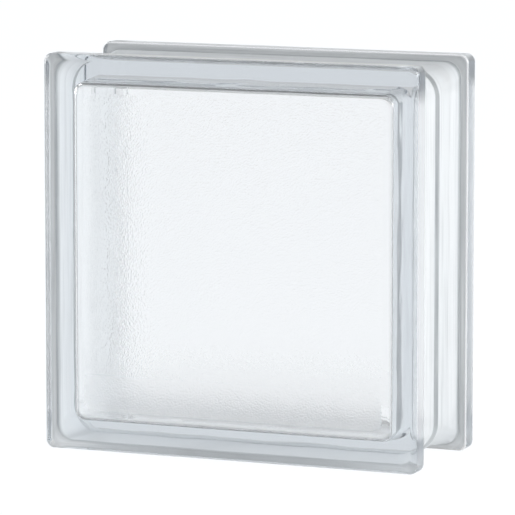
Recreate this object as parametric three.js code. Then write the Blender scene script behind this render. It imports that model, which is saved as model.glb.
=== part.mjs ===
// A hollow glass building block: two pressed glass shells, fused rim to rim at mid depth.
// Millimetres, +Z up. The block stands on its lower edges, its front face looks along -Y, and
// the origin is the middle of its footprint, on the plane that it stands on.
import * as THREE from "three";
import { mergeVertices } from "three/addons/utils/BufferGeometryUtils.js";

// The whole block.
const blockWidth = 190;
const blockHeight = 190;
const blockDepth = 80;

// The face panel, and the lip that runs on from it round the edge of the block.
const faceThickness = 8;
const faceEdgeRadius = 3;
const lipDepth = 11.5;
const lipEdgeRadius = 2;
const lipCornerRadius = 4;

// The mortar groove between the two lips. Its flank leans back from the lip to the floor, and the
// floor slopes inwards from there to the seam, so that the half can be drawn from its mould.
const grooveDepth = 3.2;
const grooveFlankRun = 1.8;
const grooveRootRadius = 1;
const grooveCornerRadius = 8;
const grooveDraft = THREE.MathUtils.degToRad(4.5);

// The bead of glass squeezed out where the two rims are fused.
const beadHeight = 1.8;
const beadHalfWidth = 2.7;
const beadCrestHalfWidth = 1;
const beadFootRadius = 0.6;
const beadCrestRadius = 1.5;
const seamCornerRadius = 13;

// The side wall. It thins towards the rim, so that the press plunger can draw out of it.
const wallThickness = 10.8;
const wallDraft = THREE.MathUtils.degToRad(4);
const cavityFilletRadius = 3.5;
const cavityCornerRadius = 5;
const cavityRimCornerRadius = 8;

// How far past a fillet's end the flat that carries it is taken, so that no facet is folded.
const flatMargin = 1;

// Facets: the steps in each fillet of the section, and in each corner of a ring.
const filletSteps = 4;
const cornerSteps = 8;

const shellDepth = blockDepth / 2;
const glassColour = 0xdfe9ea;

// One bend of the section. inset is how far in from the outer faces of the block it lies, and
// depth how far behind the face. fillet rounds the bend, and ring is the radius of the corners
// of the rounded square that the section follows there.
function bend(inset, depth, fillet, ring) {
  return { point: new THREE.Vector2(inset, depth), fillet, ring };
}

// The section of one shell: from the flat of the face, over the lip, down into the groove, over
// the bead, across the rim, and down the inside of the wall to the flat of the cavity's floor.
function shellSection() {
  const faceInset = faceEdgeRadius + flatMargin;
  const rootDepth = lipDepth + grooveFlankRun;
  const footDepth = shellDepth - beadHalfWidth;
  const footInset = grooveDepth + (footDepth - rootDepth) * Math.tan(grooveDraft);
  const crestInset = footInset - beadHeight;
  const crestCornerRadius = seamCornerRadius + beadHeight;
  const cavityInset = grooveDepth + wallThickness;
  const rimInset = cavityInset - (shellDepth - faceThickness) * Math.tan(wallDraft);
  const floorInset = cavityInset + cavityFilletRadius + flatMargin;
  return [
    bend(faceInset, 0, 0, lipCornerRadius - faceEdgeRadius),
    bend(0, 0, faceEdgeRadius, lipCornerRadius),
    bend(0, lipDepth, lipEdgeRadius, lipCornerRadius),
    bend(grooveDepth, rootDepth, grooveRootRadius, grooveCornerRadius),
    bend(footInset, footDepth, beadFootRadius, seamCornerRadius),
    bend(crestInset, shellDepth - beadCrestHalfWidth, beadCrestRadius, crestCornerRadius),
    bend(crestInset, shellDepth, 0, crestCornerRadius),
    bend(rimInset, shellDepth, 0, cavityRimCornerRadius),
    bend(cavityInset, faceThickness, cavityFilletRadius, cavityCornerRadius),
    bend(floorInset, faceThickness, 0, cavityCornerRadius - cavityFilletRadius / 2),
  ];
}

// Rounds one bend between its neighbours with an arc, and returns the points along that arc.
function roundBend(before, here, after) {
  if (here.fillet === 0) {
    return [here];
  }
  const back = before.point.clone().sub(here.point);
  const ahead = after.point.clone().sub(here.point);
  const halfAngle = Math.abs(back.angleTo(ahead)) / 2;
  const trim = Math.min(here.fillet / Math.tan(halfAngle), back.length() / 2, ahead.length() / 2);
  const start = here.point.clone().addScaledVector(back.clone().normalize(), trim);
  const end = here.point.clone().addScaledVector(ahead.clone().normalize(), trim);
  const towardsCentre = back.normalize().add(ahead.normalize()).normalize();
  const centre = here.point.clone().addScaledVector(towardsCentre, trim / Math.cos(halfAngle));
  const startAngle = start.clone().sub(centre).angle();
  const turn = THREE.MathUtils.euclideanModulo(end.clone().sub(centre).angle() - startAngle + Math.PI,
    2 * Math.PI) - Math.PI;
  const radius = start.distanceTo(centre);
  return Array.from({ length: filletSteps + 1 }, (_, step) => {
    const angle = startAngle + (turn * step) / filletSteps;
    const offset = new THREE.Vector2(Math.cos(angle), Math.sin(angle)).multiplyScalar(radius);
    return { point: centre.clone().add(offset), ring: here.ring };
  });
}

// The corners of the block, as the turn at which each one's arc starts.
const cornerTurns = [0, 1, 2, 3].map((quarter) => (quarter * Math.PI) / 2);

// The rounded square through one point of the section, as points in space.
function ringPoints({ point: { x: inset, y: depth }, ring }) {
  const reachX = blockWidth / 2 - inset - ring;
  const reachZ = blockHeight / 2 - inset - ring;
  return cornerTurns.flatMap((turn) => {
    const middle = turn + Math.PI / 4;
    const centreX = Math.sign(Math.cos(middle)) * reachX;
    const centreZ = Math.sign(Math.sin(middle)) * reachZ;
    return Array.from({ length: cornerSteps + 1 }, (_, step) => {
      const angle = turn + (step / cornerSteps) * (Math.PI / 2);
      return new THREE.Vector3(
        centreX + ring * Math.cos(angle),
        depth - shellDepth,
        centreZ + ring * Math.sin(angle),
      );
    });
  });
}

// One shell, its rim in the plane y = 0 and its face in front of it: a loft of the section's
// rounded squares, closed by the flat of the face and the flat of the cavity's floor.
function shellGeometry() {
  const bends = shellSection();
  const section = bends.flatMap((here, index) => roundBend(bends[index - 1], here, bends[index + 1]));
  const rings = section.map(ringPoints);
  const around = rings[0].length;
  const positions = [];
  const addTriangle = (...corners) => corners.forEach((corner) => positions.push(...corner.toArray()));
  for (let r = 0; r + 1 < rings.length; r += 1) {
    for (let i = 0; i < around; i += 1) {
      const next = (i + 1) % around;
      addTriangle(rings[r][i], rings[r + 1][i], rings[r][next]);
      addTriangle(rings[r][next], rings[r + 1][i], rings[r + 1][next]);
    }
  }
  const first = rings[0];
  const last = rings[rings.length - 1];
  for (let i = 1; i + 1 < around; i += 1) {
    addTriangle(first[0], first[i], first[i + 1]);
    addTriangle(last[0], last[i + 1], last[i]);
  }
  const geometry = new THREE.BufferGeometry();
  geometry.setAttribute("position", new THREE.Float32BufferAttribute(positions, 3));
  return mergeVertices(geometry);
}

// A named shell of the block. turn swings it about the block's upright middle line.
function shell(name, turn) {
  const material = new THREE.MeshStandardMaterial({
    color: glassColour,
    roughness: 0.05,
    metalness: 0,
    transparent: true,
    opacity: 0.35,
  });
  const mesh = new THREE.Mesh(shellGeometry(), material);
  mesh.name = name;
  mesh.rotation.z = turn;
  mesh.position.z = blockHeight / 2;
  return mesh;
}

const glassBlock = new THREE.Group();
glassBlock.add(shell("front_half", 0));
glassBlock.add(shell("back_half", Math.PI));

export default glassBlock;
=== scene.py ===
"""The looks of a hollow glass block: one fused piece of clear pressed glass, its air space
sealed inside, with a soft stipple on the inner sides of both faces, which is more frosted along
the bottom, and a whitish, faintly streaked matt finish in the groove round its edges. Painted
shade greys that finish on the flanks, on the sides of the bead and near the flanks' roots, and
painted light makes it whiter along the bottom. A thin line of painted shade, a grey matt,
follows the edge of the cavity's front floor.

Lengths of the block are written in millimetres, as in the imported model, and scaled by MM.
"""

import math

import bpy
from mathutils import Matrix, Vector, geometry, noise

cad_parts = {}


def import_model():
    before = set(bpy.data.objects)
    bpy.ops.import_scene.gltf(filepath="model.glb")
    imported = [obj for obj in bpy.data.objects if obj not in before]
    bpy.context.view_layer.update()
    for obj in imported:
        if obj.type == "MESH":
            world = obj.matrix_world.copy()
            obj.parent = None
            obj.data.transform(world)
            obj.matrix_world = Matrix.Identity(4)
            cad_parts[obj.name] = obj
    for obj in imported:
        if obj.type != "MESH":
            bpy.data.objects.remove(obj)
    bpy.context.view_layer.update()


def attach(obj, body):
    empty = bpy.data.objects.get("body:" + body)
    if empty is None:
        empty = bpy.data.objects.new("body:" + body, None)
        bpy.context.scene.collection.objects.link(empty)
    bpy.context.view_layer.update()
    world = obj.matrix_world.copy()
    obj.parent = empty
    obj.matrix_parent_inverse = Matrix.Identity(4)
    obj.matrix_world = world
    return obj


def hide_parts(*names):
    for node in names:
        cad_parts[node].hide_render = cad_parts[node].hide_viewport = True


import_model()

MM = 0.001

# ---------------------------------------------------------------- sizes of the block, in mm

BLOCK_WIDTH = 190.0
BLOCK_HEIGHT = 190.0
BLOCK_DEPTH = 80.0
HALF_DEPTH = BLOCK_DEPTH / 2

FACE_THICKNESS = 8.0
FACE_EDGE_RADIUS = 3.0
LIP_DEPTH = 11.5
LIP_EDGE_RADIUS = 2.0
LIP_CORNER_RADIUS = 4.0

GROOVE_DEPTH = 3.2
GROOVE_FLANK_RUN = 1.8
GROOVE_ROOT_RADIUS = 1.0
GROOVE_CORNER_RADIUS = 8.0
GROOVE_DRAFT = math.radians(4.5)

BEAD_HEIGHT = 1.8
BEAD_HALF_WIDTH = 2.7
BEAD_CREST_HALF_WIDTH = 1.0
BEAD_FOOT_RADIUS = 0.6
BEAD_CREST_RADIUS = 1.5
SEAM_CORNER_RADIUS = 13.0

WALL_THICKNESS = 10.8
WALL_DRAFT = math.radians(4.0)
CAVITY_FILLET_RADIUS = 3.5
CAVITY_CORNER_RADIUS = 5.0
CAVITY_SEAM_CORNER_RADIUS = 8.0

# How far past the cavity's fillet the flat of its floor starts.
FLAT_MARGIN = 1.0

# The whitish matt finish in the groove. It sets in over the lip's inner edge, between two depths
# behind the face, and covers this share of the surface from there on.
MATT_FROM = 11.3
MATT_TO = 12.1
MATT_SHARE = 0.75

# Painted shade and painted light in the finish, from 0 (the painted shade's grey) to 1 (the
# finish's own white): how white the flanks are painted in their middle, with painted shade that
# darkens them towards their root and the lip's edge, how white the sides of the bead are painted,
# and how much whiter painted light makes the finish along the bottom of the block. The bead's
# sides are painted greyest where the section leans in or out by STEEP or more. The groove's floor
# is painted grey with shade at the flanks' roots and turns white over these depths, measured from
# the front flank and from the back flank.
FLANK_SHADED_TONE = 0.26
BEAD_SHADED_TONE = 0.3
LOW_PAINTED_LIGHT = 0.62
STEEP = 0.7
FRONT_FADE = 6.0
BACK_FADE = 3.0

# Faint streaks in the finish, which run round the block: how strong, how wide and how long.
STREAK = 0.3
STREAK_WIDTH = 0.7
STREAK_LENGTH = 40.0

# A thin line of painted shade along the edge of the cavity's front floor, a grey matt that is
# strongest along the bottom: how much of the glass is matt there, how far behind that floor the
# line's middle is, its reach to either side, and the share of it that is left away from the bottom.
EDGE_SHADE_SHARE = 0.7
EDGE_SHADE_AT = 0.8
EDGE_SHADE_REACH = 0.9
EDGE_SHADE_LEAST = 0.3

# The pressed surface isn't quite true: how far in over each face its waves reach, half their
# height, their length round the block and width across it, and the length over which they fade out
# at both ends of a section.
FACE_RIM = 24.0
UNEVEN_DEPTH = 0.07
UNEVEN_LENGTH = 16.0
UNEVEN_WIDTH = 6.0
UNEVEN_FADE = 8.0

# The stipple on the cavity's floors: its depth and pitch, and how it fades out at their edges.
STIPPLE_DEPTH = 0.009
STIPPLE_PITCH = 2.2
STIPPLE_FADE = 2.0

# Towards the bottom of those floors the glass is more frosted: the share of the stipple's depth
# that is left there, how far up this reaches, and the roughness that stands in for all of it.
LOW_SHARE = 0.25
LOW_REACH = 32.0
LOW_FROST = 0.4

# Facets: in each fillet, in each corner and along each side, then the longest step along a straight
# of the section and between the points of the stipple. AROUND is the points on a rounded square.
FILLET_STEPS = 8
CORNER_STEPS = 20
SIDE_STEPS = 24
STRAIGHT_STEP = 1.2
STIPPLE_STEP = 1.1
AROUND = 4 * (CORNER_STEPS + 1 + SIDE_STEPS)

# About the length of a corner's arc, which the waves are spread over.
CORNER_LENGTH = 12.0

# The step over which slopes are measured, and the least run and closest points that count.
PROBE = 0.05
LEAST_RUN = 0.001
CLOSEST = 0.0001

# The kind of triangulation that keeps only what lies inside the outline.
INSIDE_OUTLINE = 1

# Half the angle of a bend that is as good as straight.
NEARLY_STRAIGHT = math.radians(89.9)

# ---------------------------------------------------------------- camera

# DISTANCE is in metres, from the middle of the block. FOCAL_PX is the focal length and FRAME_PX the
# picture's width, both in pixels, and CENTRE_PX is where the middle of the block appears.
AZIMUTH = math.radians(22.6)
ELEVATION = math.radians(7.8)
DISTANCE = 2.09
FOCAL_PX = 4384.0
FRAME_PX = 515
CENTRE_PX = (259.4, 251.5)
SENSOR_MM = 36.0
CLIP_END = 100


def camera():
    """The photograph's camera, a little to the right of the front face and above it."""
    data = bpy.data.cameras.new("camera")
    data.sensor_width = SENSOR_MM
    data.lens = FOCAL_PX / FRAME_PX * SENSOR_MM
    data.clip_end = CLIP_END
    cam = bpy.data.objects.new("camera", data)
    bpy.context.scene.collection.objects.link(cam)
    middle = Vector((0, 0, BLOCK_HEIGHT / 2 * MM))
    back = Vector((
        math.sin(AZIMUTH) * math.cos(ELEVATION),
        -math.cos(AZIMUTH) * math.cos(ELEVATION),
        math.sin(ELEVATION),
    ))
    right = Vector((math.cos(AZIMUTH), math.sin(AZIMUTH), 0))
    up = back.cross(right)
    metres_per_px = DISTANCE / FOCAL_PX
    off_right = (CENTRE_PX[0] - FRAME_PX / 2) * metres_per_px
    off_up = (FRAME_PX / 2 - CENTRE_PX[1]) * metres_per_px
    cam.location = middle + back * DISTANCE
    aim = middle - right * off_right - up * off_up
    cam.rotation_mode = "QUATERNION"
    cam.rotation_quaternion = (aim - cam.location).to_track_quat("-Z", "Y")
    bpy.context.scene.camera = cam


# ---------------------------------------------------------------- the glass's section


def bend(inset, depth, fillet, ring):
    """A bend of the section: how far in from the block's sides, how far behind the front face,
    the radius that rounds it, and the radius of the block's corners there."""
    return {"at": Vector((inset, depth)), "fillet": fillet, "ring": ring}


def outer_bends():
    """The outer section, from the flat of the front face to the seam."""
    root_depth = LIP_DEPTH + GROOVE_FLANK_RUN
    foot_depth = HALF_DEPTH - BEAD_HALF_WIDTH
    foot_inset = GROOVE_DEPTH + (foot_depth - root_depth) * math.tan(GROOVE_DRAFT)
    bead_inset = foot_inset - BEAD_HEIGHT
    return [
        bend(FACE_RIM, 0, 0, LIP_CORNER_RADIUS - FACE_EDGE_RADIUS),
        bend(0, 0, FACE_EDGE_RADIUS, LIP_CORNER_RADIUS),
        bend(0, LIP_DEPTH, LIP_EDGE_RADIUS, LIP_CORNER_RADIUS),
        bend(GROOVE_DEPTH, root_depth, GROOVE_ROOT_RADIUS, GROOVE_CORNER_RADIUS),
        bend(foot_inset, foot_depth, BEAD_FOOT_RADIUS, SEAM_CORNER_RADIUS),
        bend(bead_inset, HALF_DEPTH - BEAD_CREST_HALF_WIDTH, BEAD_CREST_RADIUS,
             SEAM_CORNER_RADIUS + BEAD_HEIGHT),
        bend(bead_inset, HALF_DEPTH, 0, SEAM_CORNER_RADIUS + BEAD_HEIGHT),
    ]


def inner_bends():
    """The cavity's section, from the flat of its floor to the seam."""
    cavity_inset = GROOVE_DEPTH + WALL_THICKNESS
    rim_inset = cavity_inset - (HALF_DEPTH - FACE_THICKNESS) * math.tan(WALL_DRAFT)
    floor_inset = cavity_inset + CAVITY_FILLET_RADIUS + FLAT_MARGIN
    return [
        bend(floor_inset, FACE_THICKNESS, 0, CAVITY_CORNER_RADIUS - CAVITY_FILLET_RADIUS / 2),
        bend(cavity_inset, FACE_THICKNESS, CAVITY_FILLET_RADIUS, CAVITY_CORNER_RADIUS),
        bend(rim_inset, HALF_DEPTH, 0, CAVITY_SEAM_CORNER_RADIUS),
    ]


def mirrored(bends):
    """The section carried on past the seam, to the back face. The bend on the seam stays once."""
    back = []
    for here in bends[-2::-1]:
        inset, depth = here["at"]
        back.append(bend(inset, BLOCK_DEPTH - depth, here["fillet"], here["ring"]))
    return bends + back


def station(at, ring, travel):
    """A point of the rounded section, and the direction in which the section passes it."""
    return {"at": at, "ring": ring, "travel": travel}


def round_bend(before, here, after):
    """The stations of one bend."""
    back = before["at"] - here["at"]
    ahead = after["at"] - here["at"]
    half_angle = back.angle(ahead) / 2
    if here["fillet"] == 0 or half_angle > NEARLY_STRAIGHT:
        travel = (ahead.normalized() - back.normalized()).normalized()
        return [station(here["at"], here["ring"], travel)]
    trim = min(here["fillet"] / math.tan(half_angle), back.length / 2, ahead.length / 2)
    radius = trim * math.tan(half_angle)
    to_centre = (back.normalized() + ahead.normalized()).normalized()
    centre = here["at"] + to_centre * (trim / math.cos(half_angle))
    start = here["at"] + back.normalized() * trim - centre
    end = here["at"] + ahead.normalized() * trim - centre
    turn = math.atan2(start.x * end.y - start.y * end.x, start.dot(end))
    stations = []
    for step in range(FILLET_STEPS + 1):
        angle = math.atan2(start.y, start.x) + turn * step / FILLET_STEPS
        spoke = Vector((math.cos(angle), math.sin(angle)))
        travel = Vector((-spoke.y, spoke.x)) * math.copysign(1, turn)
        stations.append(station(centre + spoke * radius, here["ring"], travel))
    return stations


def between(start, end):
    """Stations that divide a long straight of the section, its start among them."""
    straight = end["at"] - start["at"]
    steps = max(math.ceil(straight.length / STRAIGHT_STEP), 1)
    divided = [start]
    for step in range(1, steps):
        share = step / steps
        ring = start["ring"] + (end["ring"] - start["ring"]) * share
        divided.append(station(start["at"] + straight * share, ring, straight.normalized()))
    return divided


def section(bends):
    """All the stations of a section, each with how far along the section it lies (run), how fast
    the corners' radius changes there (ring_rate), and the share of the waves there (wave)."""
    travel_in = (bends[1]["at"] - bends[0]["at"]).normalized()
    travel_out = (bends[-1]["at"] - bends[-2]["at"]).normalized()
    rounded = [station(bends[0]["at"], bends[0]["ring"], travel_in)]
    for before, here, after in zip(bends, bends[1:], bends[2:]):
        rounded += round_bend(before, here, after)
    rounded.append(station(bends[-1]["at"], bends[-1]["ring"], travel_out))
    stations = [part for pair in zip(rounded, rounded[1:]) for part in between(*pair)]
    stations.append(rounded[-1])
    run = 0
    for here, before in zip(stations, stations[:1] + stations):
        run += (here["at"] - before["at"]).length
        here["run"] = run
    for before, here, after in zip(stations[:1] + stations, stations, stations[1:] + stations[-1:]):
        run_between = max(after["run"] - before["run"], LEAST_RUN)
        here["ring_rate"] = (after["ring"] - before["ring"]) / run_between
        here["wave"] = min(here["run"], run - here["run"], UNEVEN_FADE) / UNEVEN_FADE
    return stations


def waves(run, turn, width, length):
    """Noise between -1 and 1 over the surface: so wide across the edges of the block, and so long
    round it, in mm."""
    reach = 2 * (BLOCK_WIDTH + BLOCK_HEIGHT) / length / math.tau
    return noise.noise(Vector((run / width, reach * math.cos(turn), reach * math.sin(turn))))


def hump(share):
    """A parabola over 0 to 1: nothing at both ends, and 1 halfway."""
    return max(4 * share * (1 - share), 0)


def lowness(angle):
    """How far a point of a rounded square faces down, from 0 to 1."""
    return max(-math.sin(angle), 0)


def matt_share(here, angle, turn):
    """How much of the outer surface is matt at a place on a station: none on the lip."""
    depth = min(here["at"].y, BLOCK_DEPTH - here["at"].y)
    return MATT_SHARE * min(max((depth - MATT_FROM) / (MATT_TO - MATT_FROM), 0), 1)


def matt_painted_shading_and_streaks(here, angle, turn):
    """How white the matt finish is painted at a place on a station of the outer section: painted
    shade on the flanks, the bead's sides and near the flanks' roots, painted light along the
    bottom, and faint streaks.
    """
    inset, depth = here["at"]
    fade = FRONT_FADE if depth < HALF_DEPTH else BACK_FADE
    past_root = min(depth, BLOCK_DEPTH - depth) - LIP_DEPTH - GROOVE_FLANK_RUN
    lean = min(abs(here["travel"].x) / STEEP, 1)
    if past_root < 0:
        # Painted shade on the flank: darkest at its root and at the lip's edge.
        painted_shading_and_streaks = FLANK_SHADED_TONE * hump(inset / GROOVE_DEPTH)
    else:
        # Painted shade near the flanks' roots on the groove's floor, and on the bead's steep sides.
        painted_shading_and_streaks = min(past_root / fade, 1 - (1 - BEAD_SHADED_TONE) * lean ** 2)
    # Painted light: the finish is painted whiter along the bottom of the block.
    painted_shading_and_streaks += LOW_PAINTED_LIGHT * lowness(angle)
    painted_shading_and_streaks += STREAK * waves(here["run"], turn, STREAK_WIDTH, STREAK_LENGTH)
    return min(max(painted_shading_and_streaks, 0), 1)


def painted_edge_shade(here, angle, turn):
    """How much of the cavity's surface is matt with a line of painted shade at a place on a station
    of the inner section: most along the bottom.
    """
    # Painted shade: a grey line along the edge of the cavity's front floor, strongest along the
    # bottom.
    off_middle = abs(here["at"].y - FACE_THICKNESS - EDGE_SHADE_AT)
    most = EDGE_SHADE_SHARE * max(1 - off_middle / EDGE_SHADE_REACH, 0)
    return most * (EDGE_SHADE_LEAST + (1 - EDGE_SHADE_LEAST) * lowness(angle))


def roughness(here, angle, turn):
    """How rough the glass is at a place on a station of the outer section: clear on the faces."""
    depth = min(here["at"].y, BLOCK_DEPTH - here["at"].y)
    if depth > MATT_FROM:
        return GROOVE_ROUGHNESS
    return CLEAR_ROUGHNESS + (LIP_ROUGHNESS - CLEAR_ROUGHNESS) * min(depth / FACE_EDGE_RADIUS, 1)


# ---------------------------------------------------------------- the glass's surfaces


def unevenness(run, turn):
    """How far the pressed surface stands off its true shape, in mm, and never outside it."""
    return UNEVEN_DEPTH * (waves(run, turn, UNEVEN_WIDTH, UNEVEN_LENGTH) - 1)


def ring_points():
    """The points of a rounded square: which quarter of it they are in, the angle of the corner's
    arc, how far along the straight after that corner, and the turn round the block's middle."""
    points = []
    corner_share = CORNER_LENGTH / BLOCK_WIDTH
    for quarter in range(4):
        for step in range(CORNER_STEPS + 1):
            share = step / CORNER_STEPS
            turn = (quarter + share * corner_share) * math.tau / 4
            points.append((quarter, (quarter + share) * math.pi / 2, 0, turn))
        for step in range(1, SIDE_STEPS + 1):
            share = step / (SIDE_STEPS + 1)
            turn = (quarter + corner_share + share * (1 - corner_share)) * math.tau / 4
            points.append((quarter, (quarter + 1) * math.pi / 2, share, turn))
    return points


def corner_of(here, quarter, angle):
    """A point on the corner arc of a station's rounded square, in mm."""
    middle = (quarter + 0.5) * math.pi / 2
    reach_x = BLOCK_WIDTH / 2 - here["at"].x - here["ring"]
    reach_z = BLOCK_HEIGHT / 2 - here["at"].x - here["ring"]
    centre_x = math.copysign(reach_x, math.cos(middle))
    centre_z = BLOCK_HEIGHT / 2 + math.copysign(reach_z, math.sin(middle))
    return Vector((
        centre_x + here["ring"] * math.cos(angle),
        here["at"].y - HALF_DEPTH,
        centre_z + here["ring"] * math.sin(angle),
    ))


def ring_of(here, outward):
    """One rounded square of the loft, and its normals. outward is 1 for a surface that faces away
    from the middle of the block, and -1 for the cavity, whose glass lies outside it."""
    places, normals = [], []
    travel = here["travel"]
    for quarter, angle, share, turn in ring_points():
        cosine, sine = math.cos(angle), math.sin(angle)
        place = corner_of(here, quarter, angle)
        if share:
            place = place.lerp(corner_of(here, quarter + 1, angle), share)
        corner = abs(cosine) + abs(sine)
        lean = travel.x * corner + here["ring_rate"] * (corner - 1)
        normal = Vector((cosine * travel.y, lean, sine * travel.y)).normalized() * outward
        height = unevenness(here["run"], turn)
        across = (unevenness(here["run"] + PROBE, turn) - height) / PROBE
        round_step = math.tau * PROBE / (2 * (BLOCK_WIDTH + BLOCK_HEIGHT))
        along = (unevenness(here["run"], turn + round_step) - height) / PROBE
        wave = here["wave"]
        slope = Vector((-cosine * travel.x, travel.y, -sine * travel.x)) * across
        slope += Vector((-sine, 0, cosine)) * along
        places.append((place + normal * height * wave) * MM)
        normals.append((normal - slope * wave).normalized())
    return places, normals


def loft(stations, outward):
    """Vertices, normals and faces of the surface through a section's rounded squares, open at both
    ends."""
    vertices, normals, faces = [], [], []
    for here in stations:
        places, directions = ring_of(here, outward)
        vertices += places
        normals += directions
    for first in range(0, len(vertices) - AROUND, AROUND):
        for here in range(AROUND):
            there = (here + 1) % AROUND
            second = first + AROUND
            quad = (first + here, first + there, second + there, second + here)
            faces.append(quad if outward < 0 else quad[::-1])
    return vertices, normals, faces


def stipple_height(x, z):
    """The height of the stipple on the cavity's floors, in mm."""
    return STIPPLE_DEPTH * noise.noise(Vector((x / STIPPLE_PITCH, z / STIPPLE_PITCH, 0)))


def stipple_share(z, half):
    """The share of the stipple's depth at a height over the middle of a floor, in mm. half is how
    far the floor reaches from that middle."""
    return LOW_SHARE + (1 - LOW_SHARE) * min((half + z) / LOW_REACH, 1)


def inside_square(x, z, half, radius):
    """Whether a point lies inside a rounded square about the middle of the face, all in mm."""
    over_x, over_z = abs(x) - half + radius, abs(z) - half + radius
    return max(over_x, over_z, math.hypot(max(over_x, 0), max(over_z, 0))) < radius


def stippled_floor(rim, facing):
    """The flat inside a rounded square of the cavity, with its stipple. rim holds the places of
    that square, and facing is 1 for the floor that looks along +Y and -1 for the other. Returns
    the places, normals and roughness of the added vertices, in rows staggered by half a step, and
    the faces, which count the rim's vertices first."""
    middle = BLOCK_HEIGHT / 2
    flat = [Vector((place.x / MM, place.z / MM - middle)) for place in rim]
    half = max(point.x for point in flat)
    count = round(2 * half / STIPPLE_STEP)
    places, normals, rough = [], [], []
    for column in range(count):
        for row in range(count):
            x = -half + (column + 0.25 + 0.5 * (row % 2)) * 2 * half / count
            z = -half + (row + 0.5) * 2 * half / count
            if not inside_square(x, z, half - STIPPLE_STEP / 2, CAVITY_CORNER_RADIUS):
                continue
            flat.append(Vector((x, z)))
            share = stipple_share(z, half)
            fade = min((half - max(abs(x), abs(z))) / STIPPLE_FADE, 1) * share
            height = stipple_height(x, z) * fade
            slope_x = (stipple_height(x + PROBE, z) * fade - height) / PROBE
            slope_z = (stipple_height(x, z + PROBE) * fade - height) / PROBE
            places.append(Vector((x * MM, rim[0].y + facing * height * MM, (z + middle) * MM)))
            normals.append(Vector((-slope_x, facing, -slope_z)).normalized())
            rough.append(STIPPLE_ROUGHNESS + LOW_FROST * (1 - share))
    outline = [(point, (point + 1) % len(rim)) for point in range(len(rim))]
    faces = geometry.delaunay_2d_cdt(flat, outline, [], INSIDE_OUTLINE, CLOSEST, False)[2]
    if facing > 0:
        faces = [face[::-1] for face in faces]
    return places, normals, rough, faces


def around(stations, value_of):
    """The value at each point of a section's rounded squares. value_of gives it for a station, the
    angle at which the point faces, and the turn round the block's middle."""
    return [value_of(here, angle, turn) for here in stations for _, angle, _, turn in ring_points()]


def paint(mesh, name, outside, inside, floors):
    """Gives each vertex a value that the material reads: for the block's outside, for the cavity,
    and for the stippled floors of the cavity."""
    attribute = mesh.attributes.new(name, "FLOAT", "POINT")
    attribute.data.foreach_set("value", outside + inside + floors)


def glass_block():
    """The whole block as one closed piece of glass, with the sealed cavity inside it."""
    outer_section = section(mirrored(outer_bends()))
    inner_section = section(mirrored(inner_bends()))
    vertices, normals, faces = loft(outer_section, 1)
    faces.append(tuple(range(AROUND)))
    faces.append(tuple(range(len(vertices) - AROUND, len(vertices)))[::-1])
    inner_vertices, inner_normals, inner_faces = loft(inner_section, -1)
    first_rim = len(vertices)
    faces += [tuple(i + first_rim for i in face) for face in inner_faces]
    vertices += inner_vertices
    normals += inner_normals
    last_rim = len(vertices) - AROUND
    floor_roughness = []
    for rim, facing in ((first_rim, 1), (last_rim, -1)):
        places, directions, rough, floor_faces = stippled_floor(vertices[rim:rim + AROUND], facing)
        added = len(vertices) - AROUND
        for face in floor_faces:
            faces.append(tuple(i + rim if i < AROUND else i + added for i in face))
        vertices += places
        normals += directions
        floor_roughness += rough
    mesh = bpy.data.meshes.new("fused_glass_block")
    mesh.from_pydata(vertices, [], faces)
    mesh.materials.append(pressed_glass())
    for polygon in mesh.polygons:
        polygon.use_smooth = True
    outside = [0.0] * (AROUND * len(outer_section))
    inside = [0.0] * (AROUND * len(inner_section))
    floors = [0.0] * len(floor_roughness)
    stippled = [1.0] * len(floors)
    cavity_roughness = [CAVITY_ROUGHNESS] * len(inside)
    # The matt share: the finish outside, and the line of painted shade on the cavity.
    paint(mesh, MATT_AND_EDGE_SHADE, around(outer_section, matt_share), around(inner_section, painted_edge_shade), floors)
    # Painted shade and light in the finish; the cavity gets 0, so its line of painted shade takes
    # the full grey.
    paint(mesh, SHADING_AND_STREAKS, around(outer_section, matt_painted_shading_and_streaks), inside, floors)
    paint(mesh, STIPPLE, outside, inside, stippled)
    paint(mesh, ROUGHNESS, around(outer_section, roughness), cavity_roughness, floor_roughness)
    mesh.normals_split_custom_set_from_vertices(normals)
    block = bpy.data.objects.new("fused_glass_block", mesh)
    bpy.context.scene.collection.objects.link(block)
    return block


# ---------------------------------------------------------------- materials

# The tint is what light keeps on its way through the glass, and its density is to the metre.
GLASS_IOR = 1.52
GLASS_TINT = (0.442, 0.5, 0.554, 1)
TINT_DENSITY = 10

# What the mesh tells its material at each vertex: how stippled it is, how rough, how much of it is
# matt, which on the cavity is a line of painted shade, and how white that finish is painted, with
# painted shade, painted light and faint streaks.
STIPPLE = "stipple"
ROUGHNESS = "roughness"
MATT_AND_EDGE_SHADE = "matt"
SHADING_AND_STREAKS = "painted_shading_and_streaks"

CLEAR_ROUGHNESS = 0.02
LIP_ROUGHNESS = 0.3
GROOVE_ROUGHNESS = 0.15
CAVITY_ROUGHNESS = 0.05
STIPPLE_ROUGHNESS = 0.14

# The fine grain over the stipple, finer than its mesh: grains to the metre, and their depth in
# metres, which is the bump's and not a real one.
GRAIN_SCALE = 1150
GRAIN_DEPTH = 0.00025

# The matt finish: the grey that its painted shade runs to, its own white, and the shares of its
# light that come through from the other side, seen from outside and seen from within the glass.
MATT_SHADE_GREY = (0.28, 0.305, 0.32, 1)
MATT_WHITE = (0.95, 0.98, 1, 1)
MATT_THROUGH = 0.27
MATT_THROUGH_INSIDE = 0.63


def absorb(material):
    """The glass's own tint, deeper the further light goes through it."""
    nodes = material.node_tree.nodes
    volume = nodes.new("ShaderNodeVolumeAbsorption")
    volume.inputs["Color"].default_value = GLASS_TINT
    volume.inputs["Density"].default_value = TINT_DENSITY
    material.node_tree.links.new(volume.outputs[0], nodes["Material Output"].inputs["Volume"])


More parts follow.
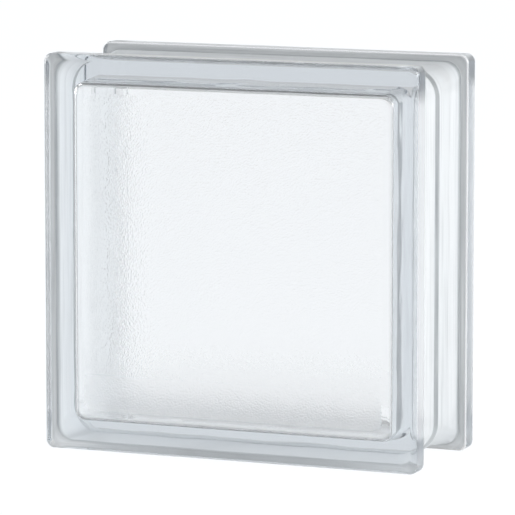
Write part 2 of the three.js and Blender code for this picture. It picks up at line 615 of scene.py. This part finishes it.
def reader(tree, name):
    """The value that the mesh holds under a name, as an output of the node tree."""
    node = tree.nodes.new("ShaderNodeAttribute")
    node.attribute_name = name
    return node.outputs["Fac"]


def grain_normal(tree):
    """The fine grain on the cavity's floors."""
    place = tree.nodes.new("ShaderNodeTexCoord")
    grains = tree.nodes.new("ShaderNodeTexNoise")
    grains.inputs["Scale"].default_value = GRAIN_SCALE
    grains.inputs["Detail"].default_value = 0
    bump = tree.nodes.new("ShaderNodeBump")
    bump.inputs["Distance"].default_value = GRAIN_DEPTH
    tree.links.new(reader(tree, STIPPLE), bump.inputs["Strength"])
    tree.links.new(place.outputs["Object"], grains.inputs["Vector"])
    tree.links.new(grains.outputs["Fac"], bump.inputs["Height"])
    return bump.outputs["Normal"]


def matt_finish(tree):
    """A whitish finish that scatters light back and lets some through. Its colour runs from the
    painted shade's grey to its own white, as the painted shade and light say.
    """
    back = tree.nodes.new("ShaderNodeBsdfDiffuse")
    through = tree.nodes.new("ShaderNodeBsdfTranslucent")
    finish = tree.nodes.new("ShaderNodeMixShader")
    side = tree.nodes.new("ShaderNodeNewGeometry")
    share = tree.nodes.new("ShaderNodeMapRange")
    share.inputs["To Min"].default_value = MATT_THROUGH
    share.inputs["To Max"].default_value = MATT_THROUGH_INSIDE
    colour = tree.nodes.new("ShaderNodeMix")
    colour.data_type = "RGBA"
    shade_grey, white, result = colour.inputs[6], colour.inputs[7], colour.outputs[2]
    # The grey is painted shade; the white is the finish's own colour.
    shade_grey.default_value = MATT_SHADE_GREY
    white.default_value = MATT_WHITE
    tree.links.new(side.outputs["Backfacing"], share.inputs["Value"])
    tree.links.new(share.outputs["Result"], finish.inputs["Fac"])
    # Painted shade and light, with faint streaks, pick the colour between that grey and white.
    tree.links.new(reader(tree, SHADING_AND_STREAKS), colour.inputs[0])
    tree.links.new(result, back.inputs["Color"])
    tree.links.new(result, through.inputs["Color"])
    tree.links.new(back.outputs[0], finish.inputs[1])
    tree.links.new(through.outputs[0], finish.inputs[2])
    return finish.outputs[0]


def pressed_glass():
    """Clear glass, with stipple, a matt finish and a line of painted shade where the mesh says so.
    """
    material = bpy.data.materials.new("pressed_glass")
    material.use_nodes = True
    tree = material.node_tree
    clear = tree.nodes["Principled BSDF"]
    clear.inputs["Base Color"].default_value = (1, 1, 1, 1)
    clear.inputs["Transmission Weight"].default_value = 1
    clear.inputs["IOR"].default_value = GLASS_IOR
    both = tree.nodes.new("ShaderNodeMixShader")
    tree.links.new(reader(tree, ROUGHNESS), clear.inputs["Roughness"])
    tree.links.new(grain_normal(tree), clear.inputs["Normal"])
    # How much is matt: the finish, and the cavity's line of painted shade.
    tree.links.new(reader(tree, MATT_AND_EDGE_SHADE), both.inputs["Fac"])
    tree.links.new(clear.outputs[0], both.inputs[1])
    tree.links.new(matt_finish(tree), both.inputs[2])
    tree.links.new(both.outputs[0], tree.nodes["Material Output"].inputs["Surface"])
    absorb(material)
    return material


# ---------------------------------------------------------------- floor and light

# The floor, in metres: how far it reaches, and how little it lies under the block. The camera, and
# light that is mirrored or let through, see this share of its glow over its own colour.
FLOOR_REACH = 20
FLOOR_DROP = 0.0002
FLOOR_COLOUR = (0.9, 0.9, 0.9, 1)
FLOOR_GLOW = (1.03, 1.05, 1.07, 1)
FLOOR_GLOW_SHARE = 0.95

# The sky's strength near the horizon and overhead, and the heights between which it changes, from 0
# at the horizon to 1 overhead.
SKY_COLOUR = (1, 1, 1, 1)
SKY_HORIZON = 0.85
SKY_TOP = 0.2
SKY_FROM = 0.2
SKY_TO = 0.7

# A soft lamp on each side of the block, which lights the sides of the groove.
LAMP_SIZE = 1.0
LAMP_AIM = (0, 0, 0.1)
LEFT_PLACE = (-1.4, 0, 0.6)
LEFT_POWER = 15
RIGHT_PLACE = (1.4, 0, 0.6)
RIGHT_POWER = 15

# How often light may be mirrored or let through before it is dropped.
MOST_BOUNCES = 32
GLOSSY_BOUNCES = 24


def summed(tree, outputs):
    """The sum of some outputs of a node tree, and 1 at most."""
    total = outputs[0]
    for output in outputs[1:]:
        node = tree.nodes.new("ShaderNodeMath")
        node.operation = "ADD"
        node.use_clamp = True
        tree.links.new(total, node.inputs[0])
        tree.links.new(output, node.inputs[1])
        total = node.outputs[0]
    return total


def floor_material():
    """A plain matt white that keeps the block's shadow, under a glow that looks white."""
    material = bpy.data.materials.new("floor")
    material.use_nodes = True
    tree = material.node_tree
    matt = tree.nodes["Principled BSDF"]
    matt.inputs["Base Color"].default_value = FLOOR_COLOUR
    matt.inputs["Roughness"].default_value = 1
    matt.inputs["Specular IOR Level"].default_value = 0
    glow = tree.nodes.new("ShaderNodeEmission")
    glow.inputs["Color"].default_value = FLOOR_GLOW
    rays = tree.nodes.new("ShaderNodeLightPath").outputs
    seen = summed(tree, [rays["Is Camera Ray"], rays["Is Glossy Ray"], rays["Is Transmission Ray"]])
    share = tree.nodes.new("ShaderNodeMath")
    share.operation = "MULTIPLY"
    share.inputs[1].default_value = FLOOR_GLOW_SHARE
    both = tree.nodes.new("ShaderNodeMixShader")
    tree.links.new(seen, share.inputs[0])
    tree.links.new(share.outputs[0], both.inputs["Fac"])
    tree.links.new(matt.outputs[0], both.inputs[1])
    tree.links.new(glow.outputs[0], both.inputs[2])
    tree.links.new(both.outputs[0], tree.nodes["Material Output"].inputs["Surface"])
    return material


def floor():
    """The ground that the block stands on, which is its backdrop too."""
    reach = FLOOR_REACH
    mesh = bpy.data.meshes.new("floor")
    corners = [(-reach, -reach, 0), (reach, -reach, 0), (reach, reach, 0), (-reach, reach, 0)]
    mesh.from_pydata(corners, [], [(0, 1, 2, 3)])
    mesh.materials.append(floor_material())
    ground = bpy.data.objects.new("floor", mesh)
    ground.location.z = -FLOOR_DROP
    bpy.context.scene.collection.objects.link(ground)


def world():
    """A pale studio, nearly white to a little above the horizon and greyer overhead."""
    sky = bpy.data.worlds.new("studio")
    bpy.context.scene.world = sky
    sky.use_nodes = True
    tree = sky.node_tree
    place = tree.nodes.new("ShaderNodeTexCoord")
    split = tree.nodes.new("ShaderNodeSeparateXYZ")
    ramp = tree.nodes.new("ShaderNodeMapRange")
    ramp.interpolation_type = "SMOOTHSTEP"
    ramp.inputs["From Min"].default_value = SKY_FROM
    ramp.inputs["From Max"].default_value = SKY_TO
    ramp.inputs["To Min"].default_value = SKY_HORIZON
    ramp.inputs["To Max"].default_value = SKY_TOP
    tree.links.new(place.outputs["Generated"], split.inputs[0])
    tree.links.new(split.outputs["Z"], ramp.inputs["Value"])
    background = tree.nodes["Background"]
    background.inputs["Color"].default_value = SKY_COLOUR
    tree.links.new(ramp.outputs["Result"], background.inputs["Strength"])


def lamp(name, place, power):
    """A soft square lamp, turned to the block."""
    data = bpy.data.lights.new(name, "AREA")
    data.size = LAMP_SIZE
    data.energy = power
    light = bpy.data.objects.new(name, data)
    bpy.context.scene.collection.objects.link(light)
    light.location = place
    light.rotation_mode = "QUATERNION"
    light.rotation_quaternion = (Vector(LAMP_AIM) - Vector(place)).to_track_quat("-Z", "Y")


def render_paths():
    """Lets light through the many surfaces of the block's edge, and shows colours as written."""
    cycles = bpy.context.scene.cycles
    cycles.max_bounces = MOST_BOUNCES
    cycles.glossy_bounces = GLOSSY_BOUNCES
    cycles.transmission_bounces = MOST_BOUNCES
    bpy.context.scene.view_settings.view_transform = "Standard"


camera()
block = glass_block()
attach(block, "root")
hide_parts("front_half", "back_half")
floor()
world()
lamp("left", LEFT_PLACE, LEFT_POWER)
lamp("right", RIGHT_PLACE, RIGHT_POWER)
render_paths()
